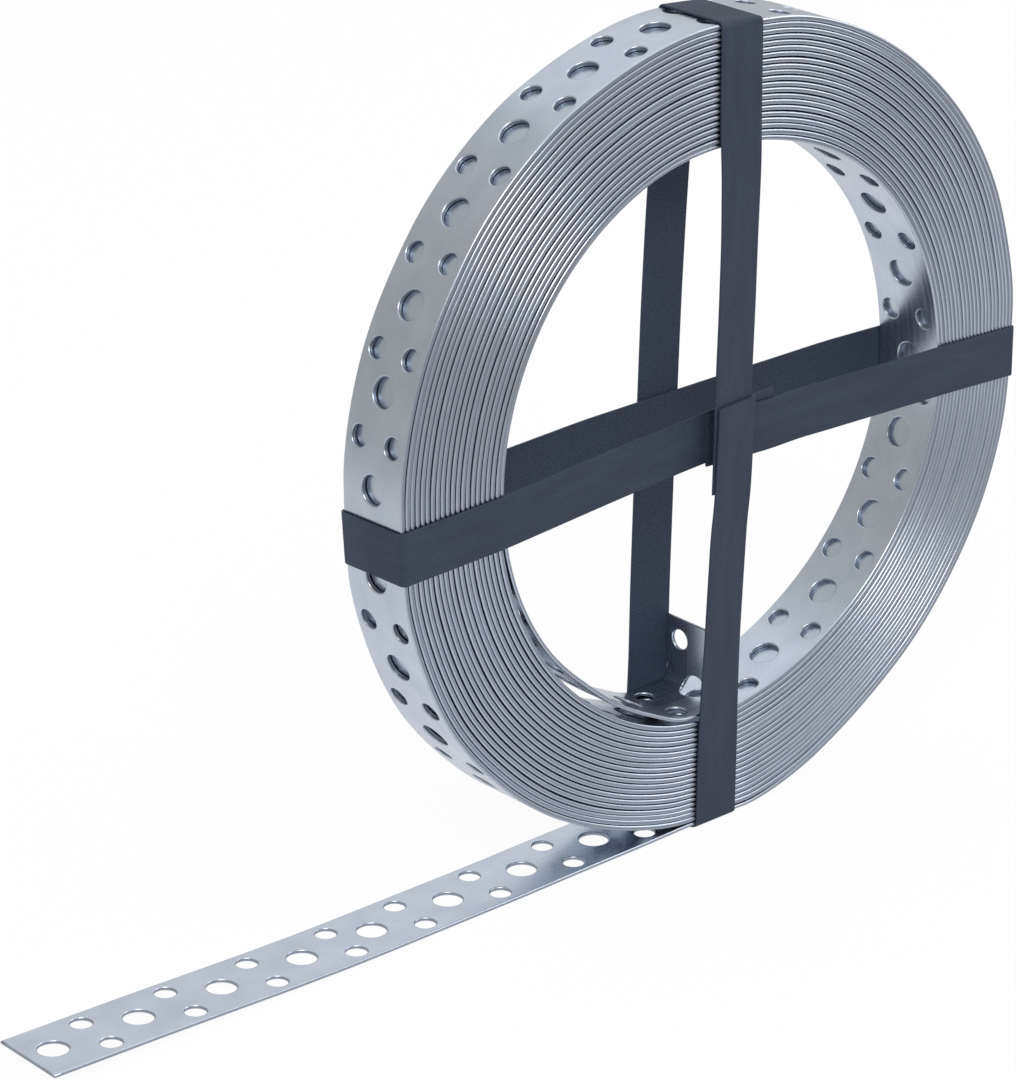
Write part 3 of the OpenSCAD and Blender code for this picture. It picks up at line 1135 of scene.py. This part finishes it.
# %% [markdown]
# ## Floor, world and lamps
#
# The floor is pale and plain. The camera, and the metal's reflections, see it mostly as plain
# white, so the ground is white and still keeps a soft shadow. For reflections it greys with the
# distance, and so does the world at its horizon, as a studio does round a lit table. Without that
# fall the metal would have nothing to mirror but white. Sizes in the room are in metres.

# %% Light path
plain_white = (1, 1, 1, 1)


def ray_kinds(tree):
    """One for rays from the camera, from a mirror or through glass. And one for the camera's only."""
    path = tree.nodes.new("ShaderNodeLightPath")
    direct = worked_out(tree, "MAXIMUM", path.outputs["Is Camera Ray"], path.outputs["Is Glossy Ray"])
    seen = worked_out(tree, "MAXIMUM", direct, path.outputs["Is Transmission Ray"])
    return seen, path.outputs["Is Camera Ray"]


def colour_ramp(tree, source, stops):
    ramp = tree.nodes.new("ShaderNodeValToRGB")
    elements = ramp.color_ramp.elements
    elements[0].position, elements[0].color = stops[0][0], (*stops[0][1], 1)
    elements[1].position, elements[1].color = stops[-1][0], (*stops[-1][1], 1)
    for position, colour in stops[1:-1]:
        elements.new(position).color = (*colour, 1)
    feed(tree, ramp.inputs["Fac"], source)
    return ramp.outputs["Color"]


def shown(tree, output, share, matt, plain):
    """Mixes two shaders by the share of the second, into the output."""
    mix = tree.nodes.new("ShaderNodeMixShader")
    feed(tree, mix.inputs["Fac"], share)
    feed(tree, mix.inputs[1], matt)
    feed(tree, mix.inputs[2], plain)
    feed(tree, output.inputs["Surface"], mix.outputs[0])


# %% Floor
floor_fall = [(0.15, (0.86, 0.87, 0.88)), (0.45, (0.62, 0.62, 0.60)), (1.0, (0.5, 0.5, 0.47))]
floor_half, floor_drop = 6.0, 0.00005
plain_white_share = 0.94


def make_floor():
    mesh = bpy.data.meshes.new("floor")
    around = ((-1, -1), (1, -1), (1, 1), (-1, 1))
    mesh.from_pydata([(x * floor_half, y * floor_half, -floor_drop) for x, y in around], [], [(0, 1, 2, 3)])
    floor = bpy.data.objects.new("floor", mesh)
    bpy.context.scene.collection.objects.link(floor)
    material = bpy.data.materials.new("floor_white")
    tree = empty_tree(material)
    output = tree.nodes.new("ShaderNodeOutputMaterial")
    matt = tree.nodes.new("ShaderNodeBsdfDiffuse")
    matt.inputs["Color"].default_value = (0.82, 0.82, 0.82, 1)
    seen, is_camera = ray_kinds(tree)
    place = tree.nodes.new("ShaderNodeNewGeometry")
    away = tree.nodes.new("ShaderNodeVectorMath")
    away.operation = "LENGTH"
    feed(tree, away.inputs[0], place.outputs["Position"])
    mirrored = colour_ramp(tree, away.outputs["Value"], floor_fall)
    white = tree.nodes.new("ShaderNodeEmission")
    feed(tree, white.inputs["Color"], mixed(tree, is_camera, mirrored, plain_white))
    share = worked_out(tree, "MULTIPLY", seen, plain_white_share)
    shown(tree, output, share, matt.outputs[0], white.outputs[0])
    mesh.materials.append(material)
    return floor


floor = make_floor()
print("floor:", floor.name, 2 * floor_half, "m wide")

# %% World
sky_fall = [
    (0.0, (0.50, 0.50, 0.47)), (0.53, (0.60, 0.61, 0.59)), (0.69, (0.95, 0.97, 0.99)), (1.0, (1.0, 1.0, 1.0)),
]
soft_box_side = (0.5, 0.0, 0.8)


def make_world():
    world = bpy.data.worlds.new("studio")
    tree = empty_tree(world)
    output = tree.nodes.new("ShaderNodeOutputWorld")
    place = tree.nodes.new("ShaderNodeTexCoord")
    # a soft box stands up and to the right, so the sky is brightest that way
    slant = tree.nodes.new("ShaderNodeVectorMath")
    slant.operation = "DOT_PRODUCT"
    slant.inputs[1].default_value = soft_box_side
    feed(tree, slant.inputs[0], place.outputs["Generated"])
    sky = colour_ramp(tree, slant.outputs["Value"], sky_fall)
    room = tree.nodes.new("ShaderNodeBackground")
    room.inputs["Color"].default_value = (0.80, 0.81, 0.83, 1)
    seen, is_camera = ray_kinds(tree)
    backdrop = tree.nodes.new("ShaderNodeBackground")
    feed(tree, backdrop.inputs["Color"], mixed(tree, is_camera, sky, plain_white))
    shown(tree, output, seen, room.outputs[0], backdrop.outputs[0])
    return world


bpy.context.scene.world = make_world()
print("world:", bpy.context.scene.world.name)

# %% Lamps
def soft_lamp(name, place, aim, size, power):
    data = bpy.data.lights.new(name, "AREA")
    data.shape = "RECTANGLE"
    data.size, data.size_y = size
    data.energy = power
    lamp = bpy.data.objects.new(name, data)
    lamp.location = place
    lamp.rotation_mode = "QUATERNION"
    lamp.rotation_quaternion = (Vector(aim) - Vector(place)).to_track_quat("-Z", "Y")
    bpy.context.scene.collection.objects.link(lamp)
    return lamp


coil_middle = (0, 0, 0.1)
key = soft_lamp("key_lamp", (-0.9, -1.1, 1.5), coil_middle, (1.2, 0.9), 14)
fill = soft_lamp("fill_lamp", (1.3, -0.5, 0.9), coil_middle, (1.0, 1.0), 5)
print("lamps:", key.name, fill.name)

# %% [markdown]
#
# The view transform is Standard, so a colour renders about as it is written.

# %% Finish
bpy.context.scene.view_settings.view_transform = "Standard"
